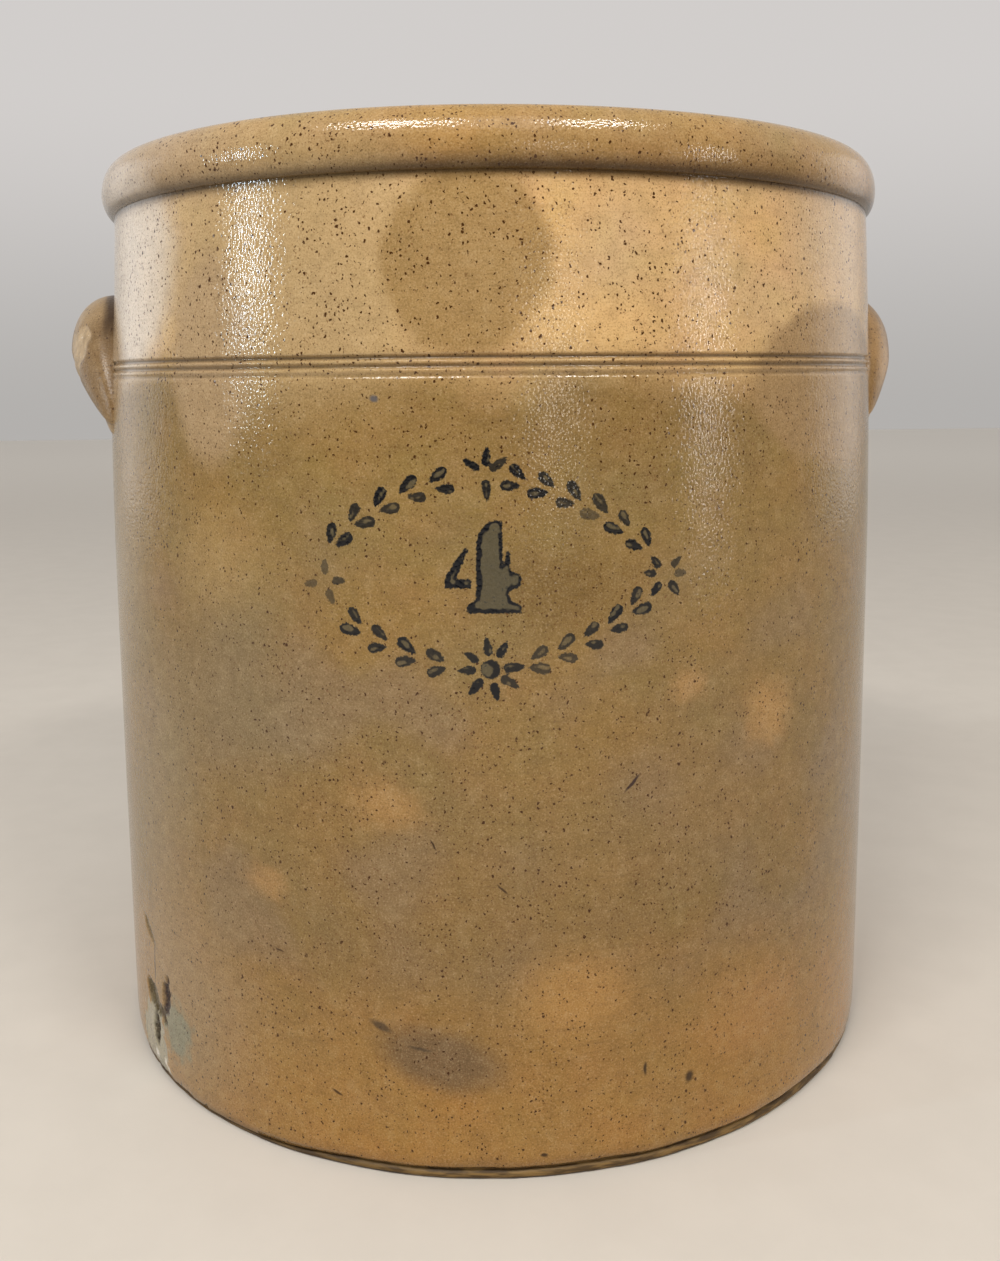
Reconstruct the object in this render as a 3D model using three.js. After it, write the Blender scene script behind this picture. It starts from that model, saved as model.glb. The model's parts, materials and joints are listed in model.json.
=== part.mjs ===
// A straight-sided stoneware storage crock of about four gallons, with two ear handles.
// Millimetres, +Z up. The origin is the middle of the underside, and the ears lie on the X axis.

import * as THREE from 'three';

// Thrown body: floor, wall and rim are one piece of clay
const crockHeight = 308;
const bellyDiameter = 280;
const bellyHeight = 165; // where the wall is widest
const footDraw = 0.7; // the wall draws in this much, at the radius, from belly to foot
const neckDraw = 3.5; // and this much from belly to the crease under the rim
const wallThickness = 11;
const floorThickness = 13;
const floorFillet = 14;
const footBevelHeight = 4.5;
const footBevelDepth = 1.8;

// Rolled rim
const rimHeight = 18; // from the crease to the crown of the lip
const rimOverhang = 2.9; // beyond the wall at the crease
const rimUnderside = 7; // height of the rounded underside
const lipRound = 6; // depth of the rounded inner edge

// Combed band: lines cut by a toothed tool while the pot turned, the top one first
const bandBelowRim = 49; // from the crease to the upper edge of the top line
const bandLineWidth = 1.6;
const bandRidge = 0.8; // clay left between two lines
const bandLineDepths = [0.7, 0.6, 0.3];

// Slip glaze coat on the inside
const liningThickness = 0.5;

// Clearance where a coat or an ear meets the fired wall
const jointGap = 0.3;

// Ear handles: arched lugs, pressed on by hand
const earLength = 84; // along the wall
const earReach = 15.6; // from the wall to the nose of the arch
const earShoulder = 19.2; // from the nose up to where the top meets the wall
const earLip = 11.4; // from the nose down to the lip
const earHollow = 4; // how far the finger hollow rises behind the lip
const earLegTaper = 19; // how far the hollow runs out downwards along the legs
const earArch = 25.5; // how far the ends lie below the middle
const earBelowRim = 43.5; // from the crease to the nose

// Shape of an ear's section, as shares of its reach and heights
const shoulderFullness = 0.6;
const noseFullness = 0.28;
const hollowFullness = 0.5;
const earLipEdge = 0.58;

// Facets
const turnSegments = 72;
const wallSteps = 7;
const neckSteps = 4;
const roundSteps = 5;
const earSteps = 18;
const earCurveSteps = 6;
const earBackSteps = 4;

const bellyRadius = bellyDiameter / 2;
const creaseHeight = crockHeight - rimHeight;

function wallRadiusAt(height) {
  if (height < bellyHeight) {
    const below = (bellyHeight - height) / bellyHeight;
    return bellyRadius - footDraw * below * below;
  }
  const above = (height - bellyHeight) / (creaseHeight - bellyHeight);
  return bellyRadius - neckDraw * above * above;
}

function innerRadiusAt(height) {
  return wallRadiusAt(height) - wallThickness;
}

function stretch(from, to, steps, radiusAt) {
  const points = [];
  for (let step = 0; step <= steps; step += 1) {
    const height = THREE.MathUtils.lerp(from, to, step / steps);
    points.push(new THREE.Vector2(radiusAt(height), height));
  }
  return points;
}

// Part of an ellipse, between two angles in degrees
function roundStretch(centreX, centreY, reachX, reachY, fromDegrees, toDegrees) {
  const from = THREE.MathUtils.degToRad(fromDegrees);
  const to = THREE.MathUtils.degToRad(toDegrees);
  const clockwise = to < from;
  const curve = new THREE.EllipseCurve(centreX, centreY, reachX, reachY, from, to, clockwise);
  return curve.getPoints(roundSteps);
}

// One combed line, met from below: its lower edge, its bottom and its upper edge
function combedLine(upperEdge, depth) {
  const lowerEdge = upperEdge - bandLineWidth;
  const middle = upperEdge - bandLineWidth / 2;
  return [
    new THREE.Vector2(wallRadiusAt(lowerEdge), lowerEdge),
    new THREE.Vector2(wallRadiusAt(middle) - depth, middle),
    new THREE.Vector2(wallRadiusAt(upperEdge), upperEdge),
  ];
}

const neckRadius = wallRadiusAt(creaseHeight);
const innerNeckRadius = neckRadius - wallThickness;
const rimRadius = neckRadius + rimOverhang;
const crownRadius = (rimRadius + innerNeckRadius) / 2;
const rimWidestHeight = creaseHeight + rimUnderside;
const lipHeight = crockHeight - lipRound;
const filletHeight = floorThickness + floorFillet;
const filletRadius = innerRadiusAt(filletHeight) - floorFillet;

// The inside from the lip down to the middle of the floor, drawn in by a coat's thickness
function insideOutline(coat) {
  const fillet = floorFillet - coat;
  return [
    new THREE.Vector2(innerNeckRadius - coat, lipHeight),
    ...stretch(creaseHeight, filletHeight, wallSteps, (height) => innerRadiusAt(height) - coat),
    ...roundStretch(filletRadius, filletHeight, fillet, fillet, 0, -90).slice(1),
    new THREE.Vector2(0, floorThickness + coat),
  ];
}

function bodyOutline() {
  const bandPitch = bandLineWidth + bandRidge;
  const bandTop = creaseHeight - bandBelowRim;
  const bandBottom = bandTop - bandPitch * bandLineDepths.length + bandRidge;
  const lines = bandLineDepths.map((depth, place) => combedLine(bandTop - place * bandPitch, depth));
  const crown = crockHeight - rimWidestHeight;
  return [
    new THREE.Vector2(0, 0),
    new THREE.Vector2(wallRadiusAt(0) - footBevelDepth, 0),
    ...stretch(footBevelHeight, bandBottom, wallSteps, wallRadiusAt).slice(0, -1),
    ...lines.reverse().flat(),
    ...stretch(bandTop, creaseHeight, neckSteps, wallRadiusAt).slice(1, -1),
    ...roundStretch(neckRadius, rimWidestHeight, rimOverhang, rimUnderside, -90, 0),
    ...roundStretch(crownRadius, rimWidestHeight, rimRadius - crownRadius, crown, 0, 90).slice(1),
    ...roundStretch(crownRadius, lipHeight, crownRadius - innerNeckRadius, lipRound, 90, 180).slice(1, -1),
    ...insideOutline(0),
  ];
}

function liningOutline() {
  return [...insideOutline(jointGap).reverse(), ...insideOutline(jointGap + liningThickness)];
}

function turned(outline) {
  const geometry = new THREE.LatheGeometry(outline, turnSegments);
  geometry.rotateX(Math.PI / 2);
  return geometry;
}

// An ear's section where share runs from -1 at one end of the arch to 1 at the other.
// Each point holds its distance from the wall and its height.
function earSection(share, noseHeight) {
  const fall = share * share;
  const swell = Math.sqrt(1 - fall);
  const reach = earReach * swell * swell;
  const nose = noseHeight - earArch * fall;
  const top = nose + earShoulder * swell;
  const lip = nose - earLip * swell;
  const root = lip + (earHollow - earLegTaper * fall) * swell;
  const point = (distance, height) => new THREE.Vector2(distance, height);
  const shoulder = new THREE.CubicBezierCurve(
    point(0, top),
    point(reach * shoulderFullness, top),
    point(reach, THREE.MathUtils.lerp(nose, top, shoulderFullness)),
    point(reach, nose),
  );
  const underNose = new THREE.CubicBezierCurve(
    point(reach, nose),
    point(reach, THREE.MathUtils.lerp(nose, lip, noseFullness)),
    point(reach * (1 + earLipEdge) / 2, lip),
    point(reach * earLipEdge, lip),
  );
  const hollow = new THREE.CubicBezierCurve(
    point(reach * earLipEdge, lip),
    point(reach * earLipEdge * hollowFullness, lip),
    point(reach * (1 - earLipEdge), root),
    point(0, root),
  );
  return [
    ...shoulder.getPoints(earCurveSteps),
    ...underNose.getPoints(earCurveSteps).slice(1),
    ...hollow.getPoints(earCurveSteps).slice(1),
    ...new THREE.LineCurve(point(0, root), point(0, top)).getPoints(earBackSteps).slice(1, -1),
  ];
}

// Sections swept round the wall, closing to a point at each end
function earGeometry(noseHeight) {
  const halfTurn = earLength / 2 / bellyRadius;
  const positions = [];
  const indices = [];
  const place = (offset, height, share) => {
    const radius = wallRadiusAt(height) + jointGap + offset;
    positions.push(radius * Math.cos(share * halfTurn), radius * Math.sin(share * halfTurn), height);
  };

  place(0, noseHeight - earArch, -1);
  let ringLength = 0;
  for (let step = 1; step < earSteps; step += 1) {
    const share = -Math.cos(Math.PI * step / earSteps);
    const section = earSection(share, noseHeight);
    section.forEach((point) => place(point.x, point.y, share));
    ringLength = section.length;
  }
  place(0, noseHeight - earArch, 1);

  const rings = earSteps - 1;
  const lastPoint = rings * ringLength + 1;
  for (let corner = 0; corner < ringLength; corner += 1) {
    const next = (corner + 1) % ringLength;
    indices.push(0, 1 + next, 1 + corner);
    for (let ring = 0; ring < rings - 1; ring += 1) {
      const near = 1 + ring * ringLength;
      const far = near + ringLength;
      indices.push(near + corner, far + next, far + corner);
      indices.push(near + corner, near + next, far + next);
    }
    const lastRing = 1 + (rings - 1) * ringLength;
    indices.push(lastPoint, lastRing + corner, lastRing + next);
  }

  const geometry = new THREE.BufferGeometry();
  geometry.setAttribute('position', new THREE.Float32BufferAttribute(positions, 3));
  geometry.setIndex(indices);
  geometry.computeVertexNormals();
  return geometry;
}

function piece(name, geometry, color, roughness) {
  const material = new THREE.MeshStandardMaterial({ color, roughness, metalness: 0 });
  const mesh = new THREE.Mesh(geometry, material);
  mesh.name = name;
  return mesh;
}

const crock = new THREE.Group();
crock.add(piece('crock_body', turned(bodyOutline()), 0xa98d62, 0.45));
crock.add(piece('slip_lining', turned(liningOutline()), 0x3d2515, 0.3));

const earNoseHeight = creaseHeight - earBelowRim;
crock.add(piece('right_ear_handle', earGeometry(earNoseHeight), 0x9b7a4c, 0.45));
const leftEar = piece('left_ear_handle', earGeometry(earNoseHeight), 0x9b7a4c, 0.45);
leftEar.rotation.z = Math.PI;
crock.add(leftEar);

export default crock;
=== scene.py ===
import json
import math
import bpy
import numpy as np
from mathutils import Matrix, Vector, noise

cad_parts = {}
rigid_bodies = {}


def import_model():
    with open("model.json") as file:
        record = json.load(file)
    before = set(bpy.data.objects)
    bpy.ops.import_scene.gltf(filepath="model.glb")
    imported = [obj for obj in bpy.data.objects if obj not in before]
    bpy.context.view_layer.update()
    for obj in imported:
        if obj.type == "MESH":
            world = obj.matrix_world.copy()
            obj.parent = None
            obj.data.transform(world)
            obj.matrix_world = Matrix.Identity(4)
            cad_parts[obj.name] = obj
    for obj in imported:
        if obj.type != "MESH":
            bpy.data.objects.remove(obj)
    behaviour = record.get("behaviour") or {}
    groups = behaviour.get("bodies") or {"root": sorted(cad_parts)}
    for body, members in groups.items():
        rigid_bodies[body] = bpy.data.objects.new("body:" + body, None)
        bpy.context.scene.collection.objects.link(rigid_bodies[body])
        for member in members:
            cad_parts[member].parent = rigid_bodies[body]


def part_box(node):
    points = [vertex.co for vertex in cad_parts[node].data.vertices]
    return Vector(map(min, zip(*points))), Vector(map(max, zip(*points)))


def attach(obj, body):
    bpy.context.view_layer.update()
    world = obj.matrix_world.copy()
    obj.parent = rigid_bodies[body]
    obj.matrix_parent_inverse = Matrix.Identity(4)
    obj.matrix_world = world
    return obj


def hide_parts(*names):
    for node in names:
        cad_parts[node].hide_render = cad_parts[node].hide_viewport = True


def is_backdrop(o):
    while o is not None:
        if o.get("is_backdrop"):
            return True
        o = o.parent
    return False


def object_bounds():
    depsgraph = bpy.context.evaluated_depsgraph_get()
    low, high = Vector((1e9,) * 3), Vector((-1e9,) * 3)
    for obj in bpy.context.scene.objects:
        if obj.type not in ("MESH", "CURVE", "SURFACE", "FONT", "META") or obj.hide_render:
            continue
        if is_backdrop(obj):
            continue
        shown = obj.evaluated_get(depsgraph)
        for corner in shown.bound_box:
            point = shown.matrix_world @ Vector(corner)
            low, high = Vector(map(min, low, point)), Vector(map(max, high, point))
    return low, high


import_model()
cadLow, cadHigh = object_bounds()  # the solid model's box, kept for the size note at the end
mm = 0.001
frontTurn = -6.0  # degrees from -Y to the side that the stencil faces

print("Tools: selection and node helpers")


def startPiece():
    if bpy.context.object and bpy.context.object.mode != "OBJECT":
        bpy.ops.object.mode_set(mode="OBJECT")
    bpy.ops.object.select_all(action="DESELECT")


def pickPiece(piece):
    startPiece()
    piece.select_set(True)
    bpy.context.view_layer.objects.active = piece


def editPiece(mode="VERT"):
    bpy.ops.object.mode_set(mode="EDIT")
    bpy.ops.mesh.select_mode(type=mode)


# A single point is drawn out into a profile line, then spun round the axis
def spinProfile(name, profile, columns):
    startPiece()
    bpy.ops.mesh.primitive_plane_add(size=0.01)
    piece = bpy.context.object
    piece.name = name
    editPiece()
    bpy.ops.mesh.select_all(action="SELECT")
    bpy.ops.mesh.merge(type="CENTER")
    radius, height = profile[0]
    bpy.ops.transform.translate(value=(radius * mm, 0, height * mm))
    for nextRadius, nextHeight in profile[1:]:
        step = ((nextRadius - radius) * mm, 0, (nextHeight - height) * mm)
        bpy.ops.mesh.extrude_region_move(TRANSFORM_OT_translate={"value": step})
        radius, height = nextRadius, nextHeight
    bpy.ops.mesh.select_all(action="SELECT")
    bpy.ops.mesh.spin(steps=columns, angle=math.tau, center=(0, 0, 0), axis=(0, 0, 1))
    bpy.ops.mesh.select_all(action="SELECT")
    bpy.ops.mesh.remove_doubles(threshold=0.01 * mm)
    bpy.ops.mesh.normals_make_consistent(inside=False)
    bpy.ops.object.mode_set(mode="OBJECT")
    return piece


def readPoints(piece):
    points = np.empty(len(piece.data.vertices) * 3)
    piece.data.vertices.foreach_get("co", points)
    return points.reshape(-1, 3) / mm


def writePoints(piece, points):
    piece.data.vertices.foreach_set("co", (points * mm).ravel())
    piece.data.update()


def storeValue(piece, name, values):
    layer = piece.data.attributes.new(name, "FLOAT", "POINT")
    layer.data.foreach_set("value", values)


def storeTint(piece, name, tints):
    layer = piece.data.attributes.new(name, "FLOAT_COLOR", "POINT")
    layer.data.foreach_set("color", np.hstack([tints, np.ones((len(tints), 1))]).ravel())


def smooth(value, start, end):
    share = np.clip((value - start) / (end - start), 0, 1)
    return share * share * (3 - 2 * share)


# Angle round the pot in degrees, from the stencilled side, growing to the right
def angleRound(points):
    turned = np.degrees(np.arctan2(points[:, 0], -points[:, 1])) - frontTurn
    return (turned + 180) % 360 - 180


def unevenness(points, size, seed):
    return np.array([noise.noise(Vector(p) / size + Vector((seed, 0, 0))) for p in points])


def colour(red, green, blue):
    parts = [part / 255 for part in (red, green, blue)]
    return [p / 12.92 if p < 0.04045 else ((p + 0.055) / 1.055) ** 2.4 for p in parts] + [1]


def addNode(tree, kind, inputs, **settings):
    made = tree.nodes.new("ShaderNode" + kind)
    for name, value in settings.items():
        setattr(made, name, value)
    for name, value in inputs.items():
        if isinstance(value, bpy.types.NodeSocket):
            tree.links.new(value, made.inputs[name])
        else:
            made.inputs[name].default_value = value
    return made


def mixColour(tree, amount, under, over):
    return addNode(tree, "Mix", {0: amount, 6: under, 7: over}, data_type="RGBA").outputs[2]


def calculate(tree, operation, first, second=0.0, clamp=False):
    return addNode(tree, "Math", {0: first, 1: second}, operation=operation, use_clamp=clamp).outputs[0]


def easeBetween(tree, value, start, end, low=0.0, high=1.0):
    sockets = {"Value": value, "From Min": start, "From Max": end, "To Min": low, "To Max": high}
    return addNode(tree, "MapRange", sockets, interpolation_type="SMOOTHSTEP").outputs["Result"]


def noiseAt(tree, place, size, detail=2.0, rough=0.5):
    sockets = {"Vector": place, "Scale": 1 / (size * mm), "Detail": detail, "Roughness": rough}
    return addNode(tree, "TexNoise", sockets)


def readValue(tree, name):
    return addNode(tree, "Attribute", {}, attribute_name=name).outputs["Fac"]


def readTint(tree, name):
    return addNode(tree, "Attribute", {}, attribute_name=name).outputs["Color"]


def addBump(tree, relief, depth, strength=1.0):
    sockets = {"Height": relief, "Strength": strength, "Distance": depth * mm}
    return addNode(tree, "Bump", sockets).outputs[0]


def newMaterial(name):
    material = bpy.data.materials.new(name)
    material.use_nodes = True
    material.node_tree.nodes.clear()
    return material


def finishMaterial(tree, base, rough, bump, bend=1.5):
    inputs = {"Base Color": base, "Roughness": rough, "Normal": bump, "IOR": bend}
    shader = addNode(tree, "BsdfPrincipled", inputs)
    addNode(tree, "OutputMaterial", {"Surface": shader.outputs["BSDF"]})


print("Crock body: thrown wall, rolled rim, combed band")

crock = {
    "columns": 288,
    "wallStep": 3.2,  # mm between rings on the wall outside, and inside
    "insideStep": 12.0,
    "bellyHeight": 165.0,
    "footDraw": 0.7,
    "neckDraw": 3.5,
    "wallThickness": 11.0,
    "floorThickness": 13.0,
    "floorFillet": 14.0,
    "rimHeight": 18.0,
    "rimOverhang": 2.9,
    "rimUnderside": 7.0,
    "lipRound": 6.0,
    "bandTop": 241.0,
    "bandPitch": 2.4,
    "bandLineWidth": 1.6,
    "bandLineDepths": (0.75, 0.65, 0.3),
    "footNotch": 3.3,  # height of the trimmed notch round the foot
    "footEdge": 130.0,  # mm from the axis; what lies further out belongs to the lip of the foot
    "footWobble": 0.45,
    "lipThinning": 0.6,  # share of the lip's height that is worn off where it is thinnest
    "ovalness": 0.12,
    "leanIn": 1.3,  # the wall stands in this much above the left ear
    "leanMiddle": -80.0,  # degrees round the pot
    "leanSpread": 32.0,
    "rimWave": 0.5,
    # angles, heights and cuts of the patches that need finer faces
    "finePatches": (
        ((-23.5, 25.5), (143.0, 218.0), 4),  # the stencil
        ((-66.0, -15.0), (234.0, 289.5), 1),  # the kiln's shadows below the rim
        ((-15.0, 26.0), (234.0, 289.5), 1),
        ((26.0, 72.0), (212.0, 289.5), 1),
        ((-65.0, -42.5), (0.5, 57.0), 3),  # the worn corner of the foot
    ),
}
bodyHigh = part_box("crock_body")[1]
crockHeight = bodyHigh.z / mm
bellyRadius = bodyHigh.y / mm
creaseHeight = crockHeight - crock["rimHeight"]
skinRadius = bellyRadius - 8  # what lies further out belongs to the outside of the wall


def wallRadius(height):
    below = np.clip((crock["bellyHeight"] - height) / crock["bellyHeight"], 0, 1)
    above = np.clip((height - crock["bellyHeight"]) / (creaseHeight - crock["bellyHeight"]), 0, None)
    return bellyRadius - crock["footDraw"] * below**2 - crock["neckDraw"] * above**2


neckRadius = wallRadius(creaseHeight)
innerNeck = neckRadius - crock["wallThickness"]


def arcLine(centre, reach, start, end, steps):
    turns = [math.radians(start + (end - start) * step / steps) for step in range(steps + 1)]
    return [(centre[0] + reach[0] * math.cos(t), centre[1] + reach[1] * math.sin(t)) for t in turns]


def wallLine(start, end, inset=0.0, spacing=crock["wallStep"]):
    steps = max(1, round(abs(end - start) / spacing))
    heights = [start + (end - start) * step / steps for step in range(steps + 1)]
    return [(float(wallRadius(h)) - inset, h) for h in heights]


# The trimmed foot, from the middle of the underside out to the wall
def footLine():
    foot = float(wallRadius(0))
    notch = crock["footNotch"]
    under = [(0.0, 1.2), (60.0, 1.2), (118.0, 1.0), (124.0, 0.0), (foot - 3.0, 0.0)]
    lip = arcLine((foot - 2.1, 1.3), (1.3, 1.3), -80, 55, 7)
    return under + lip + [(foot - 1.9, notch - 0.6), (foot - 1.8, notch), (foot - 0.7, notch + 0.6)]


def bandLine():
    line = []
    for place in reversed(range(len(crock["bandLineDepths"]))):
        middle = crock["bandTop"] - place * crock["bandPitch"] - crock["bandLineWidth"] / 2
        for share in (-1.15, -0.8, -0.4, 0.0, 0.4, 0.8, 1.15):
            height = middle + share * crock["bandLineWidth"] / 2
            cut = crock["bandLineDepths"][place] * max(0.0, math.cos(share * math.pi / 2.3))
            line.append((float(wallRadius(height)) - cut, height))
    return line


def rimLine():
    rimRadius = neckRadius + crock["rimOverhang"]
    crown = (rimRadius + innerNeck) / 2
    widest = creaseHeight + crock["rimUnderside"]
    lip = crockHeight - crock["lipRound"]
    under = arcLine((neckRadius, widest), (crock["rimOverhang"], crock["rimUnderside"]), -90, 0, 9)
    over = arcLine((crown, widest), (rimRadius - crown, crockHeight - widest), 0, 90, 14)
    inner = arcLine((crown, lip), (crown - innerNeck, crock["lipRound"]), 90, 180, 8)
    return under + over[1:] + inner[1:]


def insideLine(coat):
    bottom = crock["floorThickness"] + crock["floorFillet"]
    middle = float(wallRadius(bottom)) - crock["wallThickness"] - crock["floorFillet"]
    fillet = crock["floorFillet"] - coat
    wall = wallLine(creaseHeight - 2, bottom, crock["wallThickness"] + coat, crock["insideStep"])
    turn = arcLine((middle, bottom), (fillet, fillet), 0, -90, 8)[1:]
    floor = [(middle * share, crock["floorThickness"] + coat) for share in (0.75, 0.5, 0.25, 0.0)]
    return wall + turn + floor


def throwBody():
    band = bandLine()
    profile = footLine() + wallLine(crock["footNotch"] + 1.6, band[0][1] - 1.0) + band
    profile += wallLine(band[-1][1] + 1.0, creaseHeight - 1.0) + rimLine() + insideLine(0.0)
    return spinProfile("crock_body_thrown", profile, crock["columns"])


# Faces on the outside between two angles and two heights are cut finer
def cutFiner(piece, angles, heights, cuts):
    count = len(piece.data.polygons)
    middles = np.empty(count * 3)
    piece.data.polygons.foreach_get("center", middles)
    middles = middles.reshape(-1, 3) / mm
    turned = angleRound(middles)
    outside = np.hypot(middles[:, 0], middles[:, 1]) > skinRadius
    chosen = outside & (turned > angles[0]) & (turned < angles[1])
    chosen &= (middles[:, 2] > heights[0]) & (middles[:, 2] < heights[1])
    pickPiece(piece)
    editPiece("FACE")
    bpy.ops.mesh.select_all(action="DESELECT")
    bpy.ops.object.mode_set(mode="OBJECT")
    piece.data.polygons.foreach_set("select", chosen)
    editPiece("FACE")
    bpy.ops.mesh.subdivide(number_cuts=cuts)
    bpy.ops.object.mode_set(mode="OBJECT")


bodyPiece = throwBody()
for angles, heights, cuts in crock["finePatches"]:
    cutFiner(bodyPiece, angles, heights, cuts)

# New points on the cut patches go out to the true curve, then the hand's unevenness is put in
points = readPoints(bodyPiece)
radius = np.hypot(points[:, 0], points[:, 1])
height = points[:, 2].copy()
turned = angleRound(points)
notch = crock["footNotch"]
bandTall = crock["bandPitch"] * (len(crock["bandLineDepths"]) - 1) + crock["bandLineWidth"]
bandMiddle = crock["bandTop"] - bandTall / 2
stencilLow, stencilHigh = crock["finePatches"][0][1]
onWall = (radius > bellyRadius - 5) & (height > notch + 2) & (height < creaseHeight - 2)
onBand = np.abs(height - bandMiddle) < bandTall / 2 + 1.3
onStencil = onWall & (height > stencilLow - 4) & (height < stencilHigh + 4)
newRadius = np.where(onWall & ~onBand, wallRadius(height), radius)
outside = smooth(radius, bellyRadius - 9, bellyRadius - 5)
aside = (turned - crock["leanMiddle"]) / crock["leanSpread"]
aboveLeftEar = smooth(height, 215, 268) * np.exp(-(aside**2))
newRadius -= outside * crock["leanIn"] * aboveLeftEar * smooth(creaseHeight + 8 - height, 0, 12)
newRadius -= crock["ovalness"] * (1 + np.sin(np.radians(2 * turned + 40)))

# The lip of the foot is worn unevenly, and is thinnest on the left and far right
worn = unevenness(points, 26, 20.0) + 0.4 * unevenness(points, 6, 21.0)
atFoot = (1 - smooth(height, notch + 0.8, notch + 3)) * (radius > crock["footEdge"])
newRadius -= crock["footWobble"] * np.clip(0.3 + worn, 0, None) * atFoot
lipFull = smooth(turned, -38, -8) * (1 - smooth(turned, 42, 66)) + 0.7 * smooth(np.abs(turned), 95, 130)
onLip = (1 - smooth(height, notch + 0.7, notch + 2)) * (radius > crock["footEdge"])
points[:, 2] -= crock["lipThinning"] * (1 - lipFull) * height * onLip
points[:, 2] += crock["footWobble"] * worn * atFoot * smooth(height, 0.6, notch)
points[:, 0] *= newRadius / np.maximum(radius, 0.001)
points[:, 1] *= newRadius / np.maximum(radius, 0.001)
wave = 0.5 + 0.3 * np.sin(np.radians(turned * 2 + 100)) + 0.2 * np.sin(np.radians(turned * 5 + 20))
points[:, 2] -= crock["rimWave"] * wave * smooth(height, creaseHeight, crockHeight)
writePoints(bodyPiece, points)

# Painted shade, with the dirt and thick glaze that gather there: the foot notch, the combed lines and the
# crease under the rim
creviceShades = {notch: (0.9, 1.0), creaseHeight: (2.0, 1.0)}  # height: reach and amount
for place, depth in enumerate(crock["bandLineDepths"]):
    middle = crock["bandTop"] - place * crock["bandPitch"] - crock["bandLineWidth"] / 2
    creviceShades[middle] = (0.55, depth / max(crock["bandLineDepths"]))
creviceShade = np.zeros(len(points))
for middle, (reach, amount) in creviceShades.items():
    creviceShade = np.maximum(creviceShade, amount * np.exp(-(((height - middle) / reach) ** 2)))
storeValue(bodyPiece, "creviceShade", creviceShade * (radius > skinRadius))
# Painted shade and dirt on the foot's lip, darker all round but on the front and right
storeValue(bodyPiece, "footShade", 1 - smooth(turned, -30, 0) * (1 - smooth(turned, 70, 110)))
storeValue(bodyPiece, "bareClay", 1 - smooth(height, notch - 0.4, notch + 0.8))

print("Stencil: wreath and capacity numeral")

wreath = {
    "middleHeight": 180.0,
    "halfWidth": 49.0,
    "rise": 28.0,  # from the middle up to the top of the wreath line
    "drop": 26.5,
    "fullness": (1.7, 1.5),  # left and right; 2 would be an ellipse
    "leafLength": 6.1,
    "leafWidth": 3.1,
    "leafSpread": 2.05,  # from the wreath line to the middle of a leaf
    "splay": (29, -17),  # outer and inner leaf of a pair, degrees off the line
    # side, upper or lower, first pair's distance from the middle, pairs, pitch
    "sprays": ((-1, 1, 13.0, 5, 8.6), (-1, -1, 15.0, 4, 8.8), (1, 1, 7.0, 6, 8.2), (1, -1, 13.8, 5, 8.2)),
    # middle, ring of petals, petal angles, petal length and width
    "flowers": (
        (0.2, -26.0, 6.6, tuple(range(8, 360, 45)), 5.7, 2.6),
        (-0.9, 28.6, 4.7, (30, 90, 152, 270), 5.6, 2.3),
        (-47.5, -2.4, 4.6, (5, 90, 180, 298), 5.0, 2.7),
        (51.0, -1.2, 5.0, (-48, 0, 45, 128, 178, 232), 4.8, 2.6),
    ),
    # middle, reach and how much of the blue is worn off
    "wornSpots": (
        (-50.0, -2.0, 9.0, 0.5),
        (27.0, 18.5, 5.0, 0.45),
        (56.0, 0.0, 5.0, 0.4),
        (18.0, -24.0, 6.0, 0.25),
    ),
    "unpainted": -4.0,  # distance stored where there is no paint near
    "washShift": 0.5,  # mm that a leaf's pale middle lies off its own
    "heartRadius": 2.7,  # of the round heart of the lowest flower
    "seed": 11,
}
numeral = {
    "stem": (
        (-3.6, -6.2), (-3.5, 9.0), (-3.1, 11.2), (-2.0, 13.2), (-0.5, 14.8), (1.5, 15.8), (3.6, 15.5),
        (3.7, 3.2), (4.5, 4.0), (4.9, 7.2), (5.8, 6.9), (5.7, 1.5), (8.6, 0.6), (8.9, -2.6), (6.3, -3.5),
        (5.2, -5.0), (6.0, -6.9), (8.7, -8.1), (8.8, -10.2), (-6.3, -10.1), (-6.3, -8.2),
    ),
    "limb": (
        (-6.3, 8.4), (-8.9, 5.1), (-11.3, 1.3), (-12.5, -1.4), (-12.3, -3.1), (-5.0, -3.1), (-4.9, -0.7),
        (-9.4, -0.6), (-7.6, 3.4), (-5.7, 7.6),
    ),
}


# Leaf pairs are set along the wreath line by walking it from the middle outwards
def sprayLeaves(side, level, firstAcross, pairs, pitch, chance):
    fullness = wreath["fullness"][0 if side < 0 else 1]
    across = np.linspace(0, wreath["halfWidth"], 600)
    along = wreath["rise"] if level > 0 else wreath["drop"]
    up = level * along * (1 - (across / wreath["halfWidth"]) ** fullness) ** (1 / fullness)
    walked = np.concatenate([[0], np.cumsum(np.hypot(np.diff(across), np.diff(up)))])
    start = np.interp(firstAcross, across, walked)
    leaves = []
    for pair in range(pairs):
        place = start + pair * pitch
        u, v = np.interp(place, walked, across), np.interp(place, walked, up)
        aheadU, aheadV = np.interp(place + 1, walked, across), np.interp(place + 1, walked, up)
        growth = math.atan2(level * (v - aheadV), level * (u - aheadU))  # upper sprays grow to the top
        outward = math.atan2(level, 0) if u < 1 else math.atan2(v, u * 0.3)
        turnOut = 1 if math.sin(outward - growth) > 0 else -1
        for leaf, splay in enumerate(wreath["splay"]):
            angle = growth + turnOut * math.radians(splay + chance.uniform(-6, 6))
            offset = turnOut * wreath["leafSpread"] * (1 if leaf == 0 else -1)
            back = -0.6 if leaf == 0 else 0.6
            leafU = u - math.sin(growth) * offset + math.cos(growth) * back
            leafV = v + math.cos(growth) * offset + math.sin(growth) * back
            size = chance.uniform(0.88, 1.08)
            leafAngle = angle if side > 0 else math.pi - angle
            length, width = wreath["leafLength"] * size, wreath["leafWidth"] * size
            leaves.append((side * leafU, leafV, leafAngle, length, width))
    return leaves


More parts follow.
